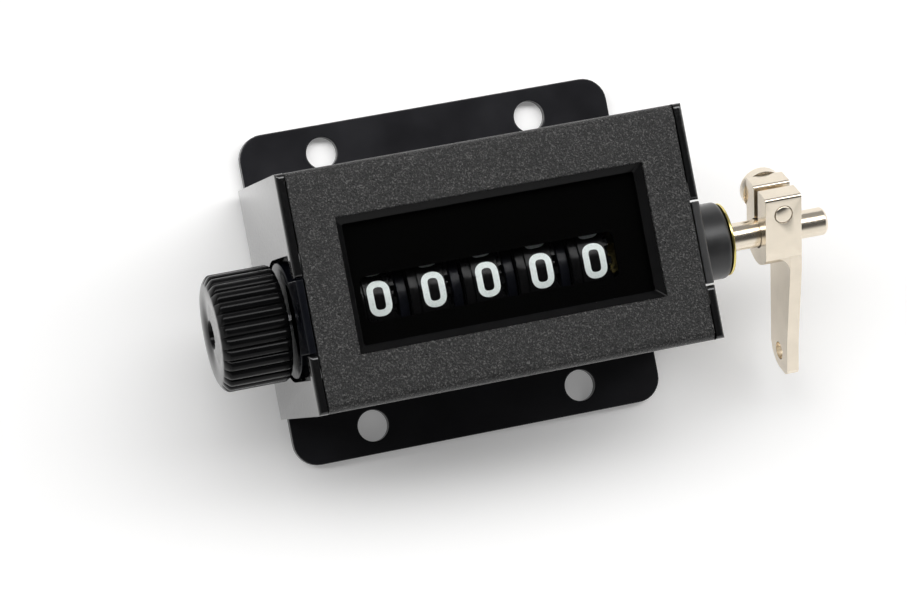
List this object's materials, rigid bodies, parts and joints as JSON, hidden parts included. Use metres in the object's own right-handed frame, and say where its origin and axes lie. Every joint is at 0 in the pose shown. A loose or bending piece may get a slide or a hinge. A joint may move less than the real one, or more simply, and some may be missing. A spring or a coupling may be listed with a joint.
{
  "type": "mechanical stroke counter",
  "caption": "Small mechanical ratchet counter on a base plate: number wheels behind a window, ribbed reset knob at one end, clamp lever on a drive shaft at the other.",
  "frame": {"origin": "middle of the base plate's underside, between its four screw holes", "axes": "+Z out of the window, +X along the wheel shaft towards the lever, +Y across the face; the base plate's underside faces -Z"},
  "size_m": [0.0892, 0.0476, 0.0323],
  "materials": {
    "textured_black_steel": "fine wrinkle-textured black paint",
    "gloss_black_steel": "smooth glossy black lacquer",
    "satin_black_steel": "satin black paint",
    "black_plastic": "moulded black plastic, satin",
    "blue_black_plastic": "moulded bluish black plastic, satin",
    "mask_black": "dead matt black",
    "clear_lens": "clear",
    "nickel": "nickel plated, satin bright, slightly warm",
    "steel": "bright drawn steel",
    "brass": "turned brass"
  },
  "bodies": {
    "housing": {"base_plate": "satin_black_steel", "base_rivet_1": "satin_black_steel", "base_rivet_2": "satin_black_steel", "base_rivet_3": "satin_black_steel", "base_rivet_4": "satin_black_steel", "shell_frame": "gloss_black_steel", "cover": "textured_black_steel", "window_bezel": "black_plastic", "window_lens": "clear_lens", "digit_mask": "mask_black", "mech_plate_left": "blue_black_plastic", "mech_plate_right": "textured_black_steel", "carrier_rod": "steel", "tie_rod_1": "steel", "tie_rod_2": "steel", "pinion_shaft": "steel", "pinion_carrier_1": "blue_black_plastic", "pinion_carrier_2": "blue_black_plastic", "pinion_carrier_3": "blue_black_plastic", "pinion_carrier_4": "blue_black_plastic", "stop_pin_1": "steel", "stop_pin_2": "steel", "holding_pawl_pin": "steel", "return_spring": "steel", "bearing_bush": "brass"},
    "units_wheel": {"number_wheel_5": "black_plastic", "ratchet_wheel": "brass"},
    "wheel_1": {"number_wheel_1": "black_plastic"},
    "wheel_2": {"number_wheel_2": "black_plastic"},
    "wheel_3": {"number_wheel_3": "black_plastic"},
    "wheel_4": {"number_wheel_4": "black_plastic"},
    "pinion_1": {"transfer_pinion_1": "black_plastic"},
    "pinion_2": {"transfer_pinion_2": "black_plastic"},
    "pinion_3": {"transfer_pinion_3": "black_plastic"},
    "pinion_4": {"transfer_pinion_4": "black_plastic"},
    "reset": {"reset_shaft": "steel", "stack_spacer": "steel", "reset_knob": "black_plastic"},
    "stroke_lever": {"drive_shaft": "nickel", "lever": "nickel", "clamp_screw": "nickel", "pawl_arm": "steel", "pawl_pin": "steel"},
    "drive_pawl_body": {"drive_pawl": "steel"},
    "holding_pawl_body": {"holding_pawl": "steel"}
  },
  "joints": [
    {"name": "units_count", "type": "hinge", "parent": "housing", "child": "units_wheel", "pos_m": [0.01365, -0.003, 0.0197], "axis": [-1, 0, 0], "continuous": true},
    {"name": "wheel_1_count", "type": "hinge", "parent": "housing", "child": "wheel_1", "pos_m": [-0.01695, -0.003, 0.0197], "axis": [-1, 0, 0], "continuous": true},
    {"name": "pinion_1_turn", "type": "hinge", "parent": "housing", "child": "pinion_1", "pos_m": [-0.01695, 0.00799, 0.0197], "axis": [-1, 0, 0], "continuous": true},
    {"name": "wheel_2_count", "type": "hinge", "parent": "housing", "child": "wheel_2", "pos_m": [-0.0093, -0.003, 0.0197], "axis": [-1, 0, 0], "continuous": true},
    {"name": "pinion_2_turn", "type": "hinge", "parent": "housing", "child": "pinion_2", "pos_m": [-0.0093, 0.00799, 0.0197], "axis": [-1, 0, 0], "continuous": true},
    {"name": "wheel_3_count", "type": "hinge", "parent": "housing", "child": "wheel_3", "pos_m": [-0.00165, -0.003, 0.0197], "axis": [-1, 0, 0], "continuous": true},
    {"name": "pinion_3_turn", "type": "hinge", "parent": "housing", "child": "pinion_3", "pos_m": [-0.00165, 0.00799, 0.0197], "axis": [-1, 0, 0], "continuous": true},
    {"name": "wheel_4_count", "type": "hinge", "parent": "housing", "child": "wheel_4", "pos_m": [0.006, -0.003, 0.0197], "axis": [-1, 0, 0], "continuous": true},
    {"name": "pinion_4_turn", "type": "hinge", "parent": "housing", "child": "pinion_4", "pos_m": [0.006, 0.00799, 0.0197], "axis": [-1, 0, 0], "continuous": true},
    {"name": "reset_turn", "type": "hinge", "parent": "housing", "child": "reset", "pos_m": [-0.0342, -0.003, 0.0197], "axis": [-1, 0, 0], "continuous": true},
    {"name": "lever_stroke", "type": "hinge", "parent": "housing", "child": "stroke_lever", "pos_m": [0.0426, -0.003, 0.0197], "axis": [-1, 0, 0], "range_deg": [0, 45], "stiffness_Nm_per_rad": 0.02, "springref_deg": -28.65},
    {"name": "drive_pawl_lift", "type": "hinge", "parent": "stroke_lever", "child": "drive_pawl_body", "pos_m": [0.0171, -0.00649, 0.01012], "axis": [1, 0, 0], "range_deg": [0, 12], "stiffness_Nm_per_rad": 0.001, "springref_deg": -17.19},
    {"name": "holding_pawl_lift", "type": "hinge", "parent": "housing", "child": "holding_pawl_body", "pos_m": [0.0171, 0.00536, 0.01385], "axis": [1, 0, 0], "range_deg": [0, 12], "stiffness_Nm_per_rad": 0.001, "springref_deg": -17.19}
  ],
  "couplings": [
    {"joint": "wheel_1_count", "follows": "units_count", "ratio": 0.0001},
    {"joint": "pinion_1_turn", "follows": "units_count", "ratio": -0.00025},
    {"joint": "wheel_2_count", "follows": "units_count", "ratio": 0.001},
    {"joint": "pinion_2_turn", "follows": "units_count", "ratio": -0.0025},
    {"joint": "wheel_3_count", "follows": "units_count", "ratio": 0.01},
    {"joint": "pinion_3_turn", "follows": "units_count", "ratio": -0.025},
    {"joint": "wheel_4_count", "follows": "units_count", "ratio": 0.1},
    {"joint": "pinion_4_turn", "follows": "units_count", "ratio": -0.25}
  ]
}
